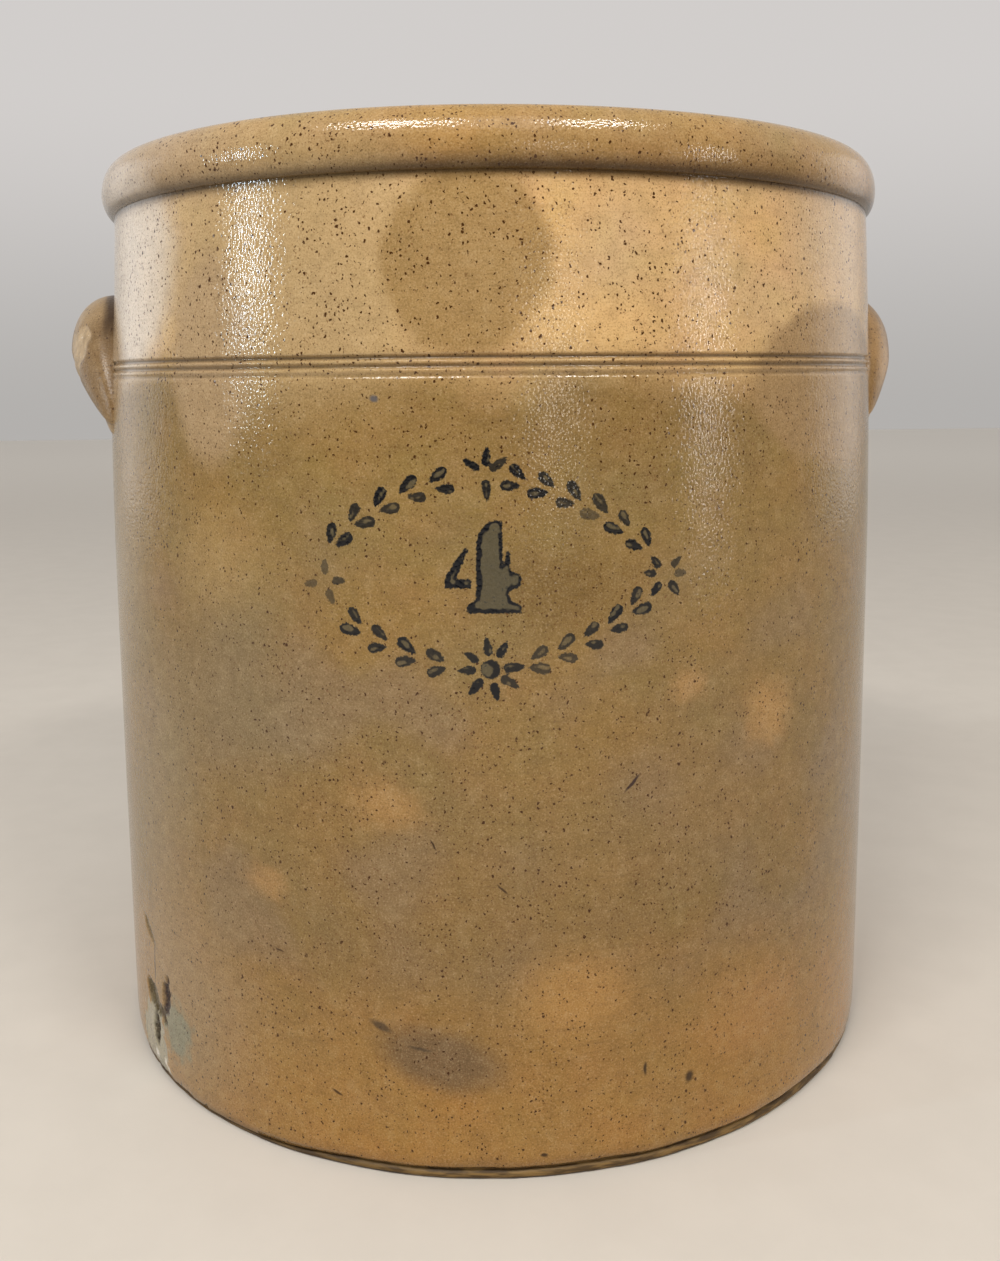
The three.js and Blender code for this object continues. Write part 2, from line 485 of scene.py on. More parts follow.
def flowerLeaves(u, v, ring, petalAngles, length, width, chance):
    leaves = []
    for petalAngle in petalAngles:
        angle = math.radians(petalAngle + chance.uniform(-7, 7))
        size = chance.uniform(0.85, 1.1)
        centre = (u + ring * math.cos(angle), v + ring * math.sin(angle))
        leaves.append((*centre, angle + math.pi, length * size, width * size))
    return leaves


# Distances in millimetres, above nought inside the painted shape
def leafDistance(u, v, leaf):
    leafU, leafV, angle, length, width = leaf
    du, dv = u - leafU, v - leafV
    along = du * math.cos(angle) + dv * math.sin(angle) + length / 2
    across = dv * math.cos(angle) - du * math.sin(angle)
    share = np.clip(along / length, 0, 1)
    half = width / 2 * 1.96 * share**0.75 * (1 - share) ** 0.35
    return half - np.hypot(across, along - share * length)


def outlineDistance(u, v, outline):
    nearest = np.full(len(u), 1e9)
    inside = np.zeros(len(u), bool)
    for (u0, v0), (u1, v1) in zip(outline, outline[1:] + outline[:1]):
        du, dv = u1 - u0, v1 - v0
        share = np.clip(((u - u0) * du + (v - v0) * dv) / (du**2 + dv**2), 0, 1)
        nearest = np.minimum(nearest, np.hypot(u - u0 - share * du, v - v0 - share * dv))
        crosses = (v0 > v) != (v1 > v)
        inside ^= crosses & (u < u0 + (v - v0) * du / (dv or 1e-9))
    return np.where(inside, nearest, -nearest)


chance = np.random.default_rng(wreath["seed"])
leaves = [leaf for spray in wreath["sprays"] for leaf in sprayLeaves(*spray, chance)]
leaves += [leaf for flower in wreath["flowers"] for leaf in flowerLeaves(*flower, chance)]
painted = np.flatnonzero(onStencil & (np.abs(turned) < 30))
u = np.radians(turned[painted]) * bellyRadius
v = height[painted] - wreath["middleHeight"]
ink = np.full(len(painted), wreath["unpainted"])
inner = np.full(len(painted), wreath["unpainted"])
strength = np.ones(len(painted))


# The wash settles to one side, so each shape's pale middle is shifted a little
def addShape(distanceOf, shiftU, shiftV, fade):
    distance = distanceOf(u, v)
    strength[distance > ink] = fade
    inner[:] = np.maximum(inner, distanceOf(u + shiftU, v + shiftV))
    ink[:] = np.maximum(ink, distance)


for leaf in leaves:
    fade = 1 - chance.uniform(0, 0.2)
    for wornU, wornV, reach, loss in wreath["wornSpots"]:
        fade -= loss * math.exp(-((leaf[0] - wornU) ** 2 + (leaf[1] - wornV) ** 2) / reach**2)
    lean = chance.uniform(0, math.tau)
    shiftU, shiftV = wreath["washShift"] * math.cos(lean), wreath["washShift"] * math.sin(lean)
    addShape(lambda a, b: leafDistance(a, b, leaf), shiftU, shiftV, fade)
for outline in numeral.values():
    addShape(lambda a, b: outlineDistance(a, b, outline), -0.32, -0.2, 1.0)
flowerU, flowerV = wreath["flowers"][0][:2]
addShape(lambda a, b: wreath["heartRadius"] - np.hypot(a - flowerU, b - flowerV), 1.0, 0.1, 0.95)

for name, values in {"stencil": ink, "stencilInner": inner, "stencilStrength": strength}.items():
    everywhere = np.full(len(points), 0.0 if name == "stencilStrength" else wreath["unpainted"])
    everywhere[painted] = values
    storeValue(bodyPiece, name, everywhere)

print("Slip lining: thin brown coat inside")

lining = {"gap": 0.3, "thickness": 0.5, "columns": 144}
liningLine = [(innerNeck - lining["gap"], crockHeight - crock["lipRound"])] + insideLine(lining["gap"])
liningPiece = spinProfile("slip_lining_coat", liningLine, lining["columns"])
coat = liningPiece.modifiers.new("coat", "SOLIDIFY")
coat.thickness = lining["thickness"] * mm
lipFace = max(liningPiece.data.polygons, key=lambda face: face.center.z)
coat.offset = 1 if lipFace.normal.dot(lipFace.center) < 0 else -1  # grows towards the inside
pickPiece(liningPiece)
bpy.ops.object.modifier_apply(modifier="coat")

print("Ear handles: arched lugs pressed on to the wall")

ear = {
    "sections": 96,
    "turns": 96,
    "length": 84.0,
    "reach": 15.6,
    "shoulder": 19.2,
    "lip": 11.4,
    "hollow": 4.0,
    "legTaper": 19.0,
    "arch": 25.5,
    "belowCrease": 43.5,
    "fullness": (0.6, 0.28, 0.5),  # of the shoulder, under the nose, and of the hollow
    "lipEdge": 0.58,
    "sink": 1.3,  # how far the back is pressed into the wall
    "gap": 0.28,  # between the rest of the ear and the wall
    "handMarks": 0.5,
    # colour of the painted shade where the ear meets the wall
    "jointShadeTint": (48, 28, 8),
    "chipPlace": (18.0, -2.0),  # mm along the ear towards the front, and up from its nose
    "chipReach": (10.0, 9.0),
    "chipClay": ((192, 165, 128), (142, 121, 92)),  # light and dark
    # the white spots on the chip are painted glints
    "paintedChipGlints": (236, 226, 208),
    "tints": {  # light and dark
        "right_ear_pressed": ((160, 125, 80), (136, 104, 61)),
        "left_ear_pressed": ((152, 125, 88), (124, 97, 62)),
    },
}


def bezier(share, *corners):
    rest = 1 - share
    weights = (rest**3, 3 * rest**2 * share, 3 * rest * share**2, share**3)
    return [sum(w * corner[axis] for w, corner in zip(weights, corners)) for axis in (0, 1)]


# A ball's points are moved to the arched section: its poles become the ends of the ear
def pressEar(name, side, chipped):
    startPiece()
    bpy.ops.mesh.primitive_uv_sphere_add(segments=ear["turns"], ring_count=ear["sections"], radius=1)
    piece = bpy.context.object
    piece.name = name
    ball = readPoints(piece) * mm
    share = np.clip(ball[:, 2], -1, 1)
    around = (np.degrees(np.arctan2(ball[:, 1], ball[:, 0])) % 360) / 90
    fall = share**2
    swell = np.sqrt(1 - fall)
    reach = ear["reach"] * swell**2
    nose = creaseHeight - ear["belowCrease"] - ear["arch"] * fall
    top = nose + ear["shoulder"] * swell
    lip = nose - ear["lip"] * swell
    root = lip + (ear["hollow"] - ear["legTaper"] * fall) * swell
    (shoulderFull, noseFull, hollowFull), edge = ear["fullness"], ear["lipEdge"]
    zero = np.zeros(len(share))
    quarter = around % 1
    stretches = (
        bezier(quarter, (zero, top), (reach * shoulderFull, top),
               (reach, nose + (top - nose) * shoulderFull), (reach, nose)),
        bezier(quarter, (reach, nose), (reach, nose + (lip - nose) * noseFull),
               (reach * (1 + edge) / 2, lip), (reach * edge, lip)),
        bezier(quarter, (reach * edge, lip), (reach * edge * hollowFull, lip),
               (reach * (1 - edge), root), (zero, root)),
        (zero, root + (top - root) * quarter),
    )
    part = around.astype(int) % 4
    offset = np.choose(part, [stretch[0] for stretch in stretches])
    up = np.choose(part, [stretch[1] for stretch in stretches])
    angle = share * ear["length"] / 2 / bellyRadius
    uneven = unevenness(np.stack([angle * bellyRadius, offset, up], 1), 14, 3.0 if side > 0 else 9.0)
    pressed = smooth(offset, 2, 9) * smooth(np.abs(share), 0.02, 0.2)
    offset -= ear["handMarks"] * (0.5 + 0.5 * uneven) * pressed
    chip = zero.copy()
    if chipped:
        rough = unevenness(np.stack([angle * bellyRadius, offset, up], 1), 6, 7.0)
        along = -side * angle * bellyRadius - ear["chipPlace"][0]
        above = up - (creaseHeight - ear["belowCrease"]) - ear["chipPlace"][1]
        apart = np.hypot(along / ear["chipReach"][0], above / ear["chipReach"][1])
        chip = smooth(1.0 + 0.5 * rough - apart, 0, 0.4) * smooth(offset, 4, 7)
        offset -= chip * (0.6 + 0.3 * rough)
    # Painted shade where the ear meets the wall, wider along the top
    shadeAboveJoint = 1 - smooth(offset + 0.8 * uneven, 1.4, 4.0)
    jointShade = np.where(part == 0, shadeAboveJoint, np.exp(-((offset / 2.0) ** 2)))
    jointShade *= smooth(0.8 - np.abs(share), 0, 0.3)
    offset += ear["gap"] - ear["sink"] * np.exp(-offset / 0.8)
    radius = wallRadius(up) + offset
    points = np.stack([side * radius * np.cos(angle), side * radius * np.sin(angle), up], 1)
    writePoints(piece, points)
    storeValue(piece, "chip", np.clip(chip, 0, 1))
    light, dark = [np.array(colour(*tint)[:3]) for tint in ear["tints"][name]]
    patchy = smooth(unevenness(points, 18, 14.0), -0.35, 0.35)[:, None]
    storeTint(piece, "glazeTint", dark + patchy * (light - dark))
    storeValue(piece, "jointShade", jointShade)
    editPiece()
    bpy.ops.mesh.select_all(action="SELECT")
    bpy.ops.mesh.remove_doubles(threshold=0.002 * mm)
    bpy.ops.mesh.normals_make_consistent(inside=False)
    bpy.ops.object.mode_set(mode="OBJECT")
    return piece


rightEar = pressEar("right_ear_pressed", 1, False)
leftEar = pressEar("left_ear_pressed", -1, True)

print("Finishes: salt glaze, cobalt stencil, brown slip, bare clay")

saltGlaze = {
    # height in mm and the tint there, of the glaze and of some painted light and shade
    "tints": (
        (0, (157, 115, 57)), (30, (151, 112, 56)), (70, (130, 102, 58)), (110, (130, 103, 59)),
        # from 248 mm up the wall is lighter: partly the glaze, partly painted light from above
        (150, (132, 105, 60)), (200, (135, 108, 61)), (231, (134, 107, 63)), (248, (195, 160, 112)),
        # the dark stop at 291 mm is painted shade under the rolled rim
        (287, (199, 164, 116)), (291, (98, 70, 28)), (295, (152, 119, 73)), (300, (164, 131, 85)),
        (308, (156, 125, 75)),
    ),
    "ash": (128, 107, 84),  # grey bloom on the lower wall
    "iron": colour(58, 26, 2),
    "rust": colour(92, 52, 18),  # the finest specks
    "grain": colour(226, 204, 166),
    # dark brown of dirt and grain, also the colour of the painted shade in crevices and on the foot
    "dirtAndShade": colour(58, 40, 16),
    "clay": colour(122, 95, 52),
    "cobaltDark": colour(5, 7, 14),
    "cobaltPale": colour(60, 62, 52),
    # mm from speck to speck, size of the largest, and how many places hold one
    "fineSpecks": (1.2, 0.43, 0.9),
    "largeSpecks": (3.4, 0.64, 0.5),
    "dustSpecks": (0.9, 0.3, 0.6),
    "lowSpecks": 0.9,  # size of the specks below the band, against those above it
    "speckEdge": 14.0,  # how sharply a speck ends
    "drift": 14.0,  # mm that the bands of tint wander up and down
    "ashAmount": 0.45,
    "peelSize": 1.0,  # mm, the pebbling of the glaze
    "peelDepth": 0.07,
    "roughness": 0.08,
    "bend": 1.4,  # refraction of the glaze
}
# angle, height, half width, half height, edge softness, tint, strength, lean
kilnAndLightMarks = {
    "grey left": (-33.0, 145, 24, 24, 0.8, (126, 107, 78), 0.7, 0),
    "grey right": (26.0, 112, 28, 20, 0.8, (134, 106, 68), 0.5, 0),
    "grey low": (-3.0, 82, 34, 24, 0.9, (128, 101, 62), 0.4, 0),
    "grey far left": (-50.0, 110, 20, 40, 0.8, (142, 124, 96), 0.5, 0),
    # painted reflection of a bright wall on the left shoulder, spread back towards the ear
    "pale by left ear": (-86.0, 270, 50, 32, 0.6, (206, 188, 164), 0.7, 0),
    "pale left": (-62.0, 270, 47, 36, 0.16, (210, 195, 178), 0.9, 0),
    # painted reflection on the right shoulder
    "pale right": (52.0, 274, 30, 20, 0.5, (186, 158, 124), 0.6, 0),
    "olive upper left": (-25.0, 264, 46, 36, 0.45, (172, 145, 103), 0.85, 0),
    # painted sheen of the side light, paler towards the left edge
    "pale middle left": (-66.0, 184, 28, 40, 0.8, (164, 146, 120), 0.6, 0),
    "left ear shadow": (-86.0, 238, 64, 26, 0.16, (170, 143, 108), 0.8, 0),
    "round shadow": (-2.3, 266, 24, 25, 0.1, (148, 118, 72), 0.85, 0),
    "left arch": (-36.0, 240, 17, 30, 0.2, (166, 139, 104), 0.85, 0),
    "right arch": (52.0, 232, 45, 25, 0.09, (150, 121, 82), 0.9, 0),
    # painted reflection of a warm-lit thing in front of the crock
    "painted warm reflection": (11.8, 248, 16, 9, 0.8, (214, 174, 116), 0.6, 0),
    "olive in wreath": (8.5, 176, 18, 11, 0.8, (114, 88, 44), 0.8, 0),
    "blush under left": (-12.5, 114, 9, 6, 0.7, (162, 123, 72), 0.75, 0),
    "blush right": (37.0, 133, 9, 9, 0.7, (170, 130, 78), 0.8, 0),
    "blush by tip": (24.2, 146, 5, 4, 0.7, (164, 126, 78), 0.7, 0),
    "blush far left": (-29.0, 86, 7, 4, 0.7, (164, 124, 76), 0.7, 0),
    "blush low": (9.8, 56, 15, 12, 0.7, (166, 124, 68), 0.8, 0),
    "blush left": (-35.5, 182, 17, 13, 0.8, (162, 131, 82), 0.6, 0),
    "blush low right": (36.5, 40, 17, 12, 0.8, (162, 119, 68), 0.6, 0),
    # painted dull reflection on the rim's left end
    "tan rim left": (-52.0, 300, 44, 12, 0.8, (170, 149, 124), 0.7, 0),
    "tan foot left": (-46.0, 36, 30, 34, 0.8, (150, 125, 92), 0.75, 0),
    "smoke smear": (-6.5, 38, 18, 9, 0.4, (104, 82, 56), 0.85, 14),
    "loss": (-57.0, 11, 11, 11, 0.3, (158, 154, 134), 0.85, 0),
    "cement patch": (-48.6, 22, 9.5, 9.5, 0.35, (124, 123, 102), 0.9, 0),
    "green pit": (-56.5, 26, 6.2, 4.2, 0.25, (74, 62, 34), 1.0, 30),
    "dark pit": (-51.5, 30.5, 2.6, 6.4, 0.25, (42, 28, 30), 1.0, 12),
    "lower pit": (-56.1, 14.5, 2.7, 5.4, 0.25, (46, 38, 24), 1.0, 4),
    "pit between": (-53.0, 22.3, 3.6, 1.3, 0.3, (56, 44, 32), 0.9, 35),
    "white fleck": (-56.5, 5, 1.6, 1.3, 0.4, (236, 228, 216), 0.9, 0),
    "white fleck, near": (-53.0, 5.5, 1.4, 1.1, 0.4, (236, 228, 216), 0.9, 20),
    "white fleck, low": (-52.0, 4, 1.2, 1.0, 0.4, (226, 216, 200), 0.9, 0),
    "crack, head": (-57.0, 49, 1.3, 5.4, 0.4, (92, 74, 44), 0.85, -52),
}
# how deep the worn places are sunk, in mm
sunkMarks = {
    "loss": 0.35,
    "green pit": 1.2,
    "dark pit": 1.4,
    "lower pit": 1.3,
    "pit between": 0.8,
    "crack, head": 0.5,
}
fineMarks = {
    "scratch": (16.8, 119, 0.45, 3.2, 0.4, (48, 30, 30), 0.95, 42),
    "blue fleck": (-13.0, 229, 1.2, 0.9, 0.5, (84, 82, 84), 0.9, 20),
    "smear scar": (-13.6, 47, 3.2, 1.1, 0.5, (62, 48, 34), 0.8, 24),
    "smear nick": (-8.8, 41, 3.2, 0.5, 0.6, (70, 56, 40), 0.8, 8),
    "iron blob": (25.0, 25, 1.3, 1.7, 0.5, (44, 27, 12), 0.9, 20),
    "iron blob, small": (18.8, 31, 0.5, 1.8, 0.5, (44, 27, 12), 0.9, 0),
    "iron blob, low": (6.0, 8, 1.1, 0.6, 0.4, (44, 27, 12), 0.9, 0),
    "dash, upper": (-6.8, 103, 0.3, 1.5, 0.5, (44, 24, 10), 0.95, -30),
    "dash, middle": (1.2, 90, 0.3, 2.0, 0.5, (56, 36, 18), 0.9, -45),
    "dash, left": (-27.2, 65, 0.3, 1.6, 0.5, (60, 38, 16), 0.9, -80),
    "dash, low left": (-19.5, 24, 0.4, 1.8, 0.5, (56, 32, 14), 0.9, -68),
    "crack, tail": (-55.3, 38.5, 0.4, 8.0, 0.5, (60, 46, 30), 0.9, 5),
}


# Nought to one on the wall's points, inside an ellipse with a frayed edge
def markShare(points, mark):
    angle, up, width, tall, edge, tint, strength, lean = mark
    across = ((angleRound(points) - angle + 180) % 360 - 180) * math.pi / 180 * bellyRadius
    rise = points[:, 2] - up
    tilt = math.radians(lean)
    along = across * math.cos(tilt) - rise * math.sin(tilt)
    over = across * math.sin(tilt) + rise * math.cos(tilt)
    away = np.hypot(along / width, over / tall)
    near = np.flatnonzero((away < 2.5) & (np.hypot(points[:, 0], points[:, 1]) > skinRadius))
    frayed = 0.06 * unevenness(points[near], 8, 6.0)
    if width < 12:
        frayed = 3 * frayed + 0.45 * unevenness(points[near], 2.6, 8.0)
    share = np.zeros(len(points))
    share[near] = 1 - smooth(away[near] + frayed, 1 - edge, 1 + edge)
    return share


def wearFoot(piece, shares):
    points = readPoints(piece)
    for name, depth in sunkMarks.items():
        points[:, :2] *= (1 - depth * shares[name] / bellyRadius)[:, None]
    writePoints(piece, points)


# The kiln's tints, with painted reflections, painted sheen and painted shade, are painted on the points:
# bands by height, then each mark over them
def paintGlazeAndLight(piece, shares):
    points = readPoints(piece)
    height = points[:, 2].copy()
    wall = height < creaseHeight - 1
    drifted = height + saltGlaze["drift"] * unevenness(points, 38, 2.0)
    height[wall] = np.minimum(drifted[wall], creaseHeight - 3)
    stops = [stop for stop, tint in saltGlaze["tints"]]
    tones = np.array([colour(*tint)[:3] for stop, tint in saltGlaze["tints"]])
    tints = np.stack([np.interp(height, stops, tones[:, part]) for part in range(3)], 1)
    tints *= (1 + 0.08 * unevenness(points, 55, 4.0) + 0.05 * unevenness(points, 8, 6.0))[:, None]
    tints *= 1 + unevenness(points, 24, 12.0)[:, None] * np.array((0.09, 0.01, -0.14))
    tints *= 1 + unevenness(points, 9, 16.0)[:, None] * np.array((0.03, -0.01, 0.05))
    ash = smooth(unevenness(points, 26, 31.0), 0.0, 0.45)
    ash *= smooth(height, 40, 80) * smooth(200 - height, 0, 50)
    tints += saltGlaze["ashAmount"] * ash[:, None] * (np.array(colour(*saltGlaze["ash"])[:3]) - tints)
    for name, share in shares.items():
        if name in sunkMarks:
            share = smooth(share, 0, 0.4)
        tint, strength = np.array(colour(*kilnAndLightMarks[name][5])[:3]), kilnAndLightMarks[name][6]
        tints += strength * share[:, None] * (tint - tints)
    storeTint(piece, "glazeTint", tints)


# Nought to full strength inside an ellipse that lies on the wall
def wallMark(tree, place, mark):
    angle, up, width, tall, edge, tint, strength, lean = mark
    turn = math.radians(angle + frontTurn)
    reach = float(wallRadius(up)) * mm
    sockets = {
        "Vector": place,
        "Location": (reach * math.sin(turn), -reach * math.cos(turn), up * mm),
        "Rotation": (0, math.radians(lean), turn),
        "Scale": (width * mm, (2 * width + 10) * mm, tall * mm),
    }
    local = addNode(tree, "Mapping", sockets, vector_type="TEXTURE").outputs[0]
    away = addNode(tree, "VectorMath", {0: local}, operation="LENGTH").outputs["Value"]
    return easeBetween(tree, away, 1 + edge, 1 - edge, 0.0, strength)


# Specks whose size varies from cell to cell; share is how many cells hold one
def ironSpecks(tree, place, cell, size, share, crowd, growth=1.0):
    cells = addNode(tree, "TexVoronoi", {"Vector": place, "Scale": 1 / (cell * mm)})
    pick = addNode(tree, "SeparateColor", {"Color": cells.outputs["Color"]}).outputs[0]
    largest = size / cell / share
    sockets = {0: calculate(tree, "ADD", pick, crowd), 1: largest, 2: (share - 1) * largest}
    reach = addNode(tree, "Math", sockets, operation="MULTIPLY_ADD").outputs[0]
    reach = calculate(tree, "MULTIPLY", reach, growth)
    inside = calculate(tree, "SUBTRACT", reach, cells.outputs["Distance"])
    return calculate(tree, "MULTIPLY", inside, saltGlaze["speckEdge"], clamp=True)


def jitterPlace(tree, place, size, amount):
    drift = noiseAt(tree, place, size, 2.0).outputs["Color"]
    centred = addNode(tree, "VectorMath", {0: drift, 1: (0.5, 0.5, 0.5)}, operation="SUBTRACT").outputs[0]
    scaled = addNode(tree, "VectorMath", {0: centred, "Scale": amount * mm}, operation="SCALE").outputs[0]
    return addNode(tree, "VectorMath", {0: place, 1: scaled}, operation="ADD").outputs[0]


def glazeSkin(tree, place, base):
    tall = addNode(tree, "Mapping", {"Vector": place, "Scale": (1, 1, 0.9)}).outputs[0]
    ragged = jitterPlace(tree, tall, 0.9, 1.3)
    crowd = easeBetween(tree, noiseAt(tree, place, 22, 1.0).outputs["Fac"], 0.35, 0.65, -0.06, 0.06)
    up = addNode(tree, "SeparateXYZ", {"Vector": place}).outputs["Z"]
    bandTop = crock["bandTop"] * mm
    growth = easeBetween(tree, up, bandTop - 15 * mm, bandTop - mm, saltGlaze["lowSpecks"], 1.0)
    fine = ironSpecks(tree, ragged, *saltGlaze["fineSpecks"], crowd, growth)
    large = ironSpecks(tree, ragged, *saltGlaze["largeSpecks"], crowd, growth)
    dust = ironSpecks(tree, ragged, *saltGlaze["dustSpecks"], crowd)
    grain = noiseAt(tree, place, 0.5, 2.0, 0.6).outputs["Fac"]
    mottle = noiseAt(tree, place, 4.5, 1.0).outputs["Fac"]
    rings = addNode(tree, "Mapping", {"Vector": place, "Scale": (0.1, 0.1, 1.4)}).outputs[0]
    thrown = noiseAt(tree, rings, 1.6, 2.0).outputs["Fac"]
    base = mixColour(tree, easeBetween(tree, grain, 0.5, 0.78, 0.0, 0.18), base, saltGlaze["grain"])
    base = mixColour(tree, easeBetween(tree, grain, 0.52, 0.25, 0.0, 0.38), base, saltGlaze["dirtAndShade"])
    base = mixColour(tree, easeBetween(tree, mottle, 0.55, 0.25, 0.0, 0.1), base, saltGlaze["dirtAndShade"])
    base = mixColour(tree, easeBetween(tree, thrown, 0.5, 0.25, 0.0, 0.1), base, saltGlaze["dirtAndShade"])
    base = mixColour(tree, easeBetween(tree, mottle, 0.5, 0.8, 0.0, 0.05), base, saltGlaze["grain"])
    base = mixColour(tree, calculate(tree, "MULTIPLY", dust, 0.55), base, saltGlaze["rust"])
    specks = calculate(tree, "MAXIMUM", fine, large)
    base = mixColour(tree, calculate(tree, "MULTIPLY", specks, 0.96), base, saltGlaze["iron"])
    pebbles = addNode(tree, "TexVoronoi", {"Vector": place, "Scale": 1 / (saltGlaze["peelSize"] * mm)})
    dip = calculate(tree, "POWER", pebbles.outputs["Distance"], 2.0)
    swell = noiseAt(tree, place, 3.0, 1.0).outputs["Fac"]
    relief = calculate(tree, "SUBTRACT", swell, dip)
    rough = saltGlaze["roughness"]
    gloss = easeBetween(tree, grain, 0.3, 0.7, rough - 0.02, rough + 0.06)
    return base, relief, gloss


def bodyFinish():
    material = newMaterial("salt glaze with cobalt stencil")
    tree = material.node_tree
    place = addNode(tree, "TexCoord", {}).outputs["Object"]
    base, relief, gloss = glazeSkin(tree, place, readTint(tree, "glazeTint"))

    stencil = readValue(tree, "stencil")
    force = readValue(tree, "stencilStrength")
    ragged = noiseAt(tree, place, 0.8, 2.0, 0.6).outputs["Fac"]
    washPoolAndJointShade = noiseAt(tree, place, 2.6, 1.0).outputs["Fac"]
    edge = calculate(tree, "ADD", stencil, easeBetween(tree, ragged, 0.2, 0.8, -0.3, 0.3))
    body = calculate(tree, "MULTIPLY", easeBetween(tree, edge, -0.25, 0.2), force)
    settled = easeBetween(tree, washPoolAndJointShade, 0.3, 0.7, -0.5, 0.3)
    depth = calculate(tree, "ADD", readValue(tree, "stencilInner"), settled)
    rim = calculate(tree, "MULTIPLY", easeBetween(tree, depth, 1.3, 0.7), body)
    base = mixColour(tree, calculate(tree, "MULTIPLY", body, 0.78), base, saltGlaze["cobaltPale"])
    base = mixColour(tree, rim, base, saltGlaze["cobaltDark"])

    finePlace = jitterPlace(tree, place, 2.5, 0.9)
    for mark in fineMarks.values():
        base = mixColour(tree, wallMark(tree, finePlace, mark), base, colour(*mark[5]))
    # painted shade, with gathered dirt, in the notch, the combed lines and under the rim
    creviceShadeAmount = calculate(tree, "MULTIPLY", readValue(tree, "creviceShade"), 0.72)
    base = mixColour(tree, creviceShadeAmount, base, saltGlaze["dirtAndShade"])
    bare = readValue(tree, "bareClay")
    rings = addNode(tree, "Mapping", {"Vector": place, "Scale": (0.25, 0.25, 2)}).outputs[0]
    scraped = noiseAt(tree, rings, 2.0, 3.0).outputs["Fac"]
    streaks = easeBetween(tree, scraped, 0.38, 0.6, 0.0, 0.85)
    clay = mixColour(tree, streaks, saltGlaze["clay"], saltGlaze["dirtAndShade"])
    # painted shade and dirt on the lip of the foot
    footLipShade = calculate(tree, "MULTIPLY", readValue(tree, "footShade"), 0.6)
    clay = mixColour(tree, footLipShade, clay, saltGlaze["dirtAndShade"])
    base = mixColour(tree, bare, base, clay)
    gloss = calculate(tree, "ADD", gloss, calculate(tree, "MULTIPLY", bare, 0.45), clamp=True)
    bump = addBump(tree, relief, saltGlaze["peelDepth"])
    finishMaterial(tree, base, gloss, bump, saltGlaze["bend"])
    return material


def earFinish():
    material = newMaterial("salt glaze on the ears")
    tree = material.node_tree
    place = addNode(tree, "TexCoord", {}).outputs["Object"]
    base, relief, gloss = glazeSkin(tree, place, readTint(tree, "glazeTint"))
    # painted shade in the joint between ear and wall
    washPoolAndJointShade = calculate(tree, "MULTIPLY", readValue(tree, "jointShade"), 0.9)
    base = mixColour(tree, washPoolAndJointShade, base, colour(*ear["jointShadeTint"]))
    chip = readValue(tree, "chip")
    torn = noiseAt(tree, place, 2.4, 4.0, 0.65).outputs["Fac"]
    light, dark = [colour(*tint) for tint in ear["chipClay"]]
    clay = mixColour(tree, easeBetween(tree, torn, 0.3, 0.75), light, dark)
    # white spots on the broken clay: painted glints
    glintSpots = noiseAt(tree, place, 1.2, 2.0, 0.7).outputs["Fac"]
    clay = mixColour(tree, easeBetween(tree, glintSpots, 0.64, 0.74), clay, colour(*ear["paintedChipGlints"]))
    base = mixColour(tree, easeBetween(tree, chip, 0.1, 0.9, 0.0, 0.8), base, clay)
    broken = calculate(tree, "MULTIPLY", torn, calculate(tree, "MULTIPLY", chip, 1.5))
    relief = calculate(tree, "ADD", relief, broken)
    gloss = calculate(tree, "ADD", gloss, easeBetween(tree, chip, 0.0, 1.0, 0.24, 0.36), clamp=True)
    bump = addBump(tree, relief, saltGlaze["peelDepth"])
    finishMaterial(tree, base, gloss, bump, saltGlaze["bend"])
    return material


slip = {
    "dark": colour(58, 34, 19),
    "brown": colour(76, 45, 25),
    "cloud": colour(94, 58, 32),
    "speck": colour(22, 13, 8),
    "specks": (2.4, 0.5, 0.5),
    "peelDepth": 0.08,
}


def slipFinish():
    material = newMaterial("brown slip glaze")
    tree = material.node_tree
    place = addNode(tree, "TexCoord", {}).outputs["Object"]
    runs = addNode(tree, "Mapping", {"Vector": place, "Scale": (1, 1, 0.3)}).outputs[0]
    streak = noiseAt(tree, runs, 9, 4.0, 0.6).outputs["Fac"]
    cloud = noiseAt(tree, place, 40, 3.0).outputs["Fac"]
    base = mixColour(tree, easeBetween(tree, streak, 0.3, 0.7), slip["dark"], slip["brown"])
    base = mixColour(tree, easeBetween(tree, cloud, 0.45, 0.7, 0.0, 0.35), base, slip["cloud"])
    specks = ironSpecks(tree, place, *slip["specks"], 0.0)
    base = mixColour(tree, calculate(tree, "MULTIPLY", specks, 0.6), base, slip["speck"])
    peel = noiseAt(tree, place, 2.0, 2.0).outputs["Fac"]
    gloss = easeBetween(tree, cloud, 0.3, 0.7, 0.2, 0.36)
    finishMaterial(tree, base, gloss, addBump(tree, peel, slip["peelDepth"]))
    return material


table = {
    "size": 9.0,  # metres
    "pale": colour(197, 190, 181),
    "paler": colour(200, 193, 184),
    "far": colour(232, 227, 220),
    "roughness": 0.75,
    "grainDepth": 0.5,
}


def tableFinish():
    material = newMaterial("pale table")
    tree = material.node_tree
    place = addNode(tree, "TexCoord", {}).outputs["Object"]
    grain = noiseAt(tree, place, 30, 4.0, 0.6).outputs["Fac"]
    base = mixColour(tree, easeBetween(tree, grain, 0.3, 0.7), table["pale"], table["paler"])
    # painted light: the table is paler far out, where it meets the bright studio wall
    away = addNode(tree, "VectorMath", {0: place}, operation="LENGTH").outputs["Value"]
    base = mixColour(tree, easeBetween(tree, away, 0.5, 3.5), base, table["far"])
    finishMaterial(tree, base, table["roughness"], addBump(tree, grain, table["grainDepth"], 0.05))
    return material


def dress(piece, material, node):
    piece.data.materials.clear()
    piece.data.materials.append(material)
    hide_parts(node)
    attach(piece, "root")


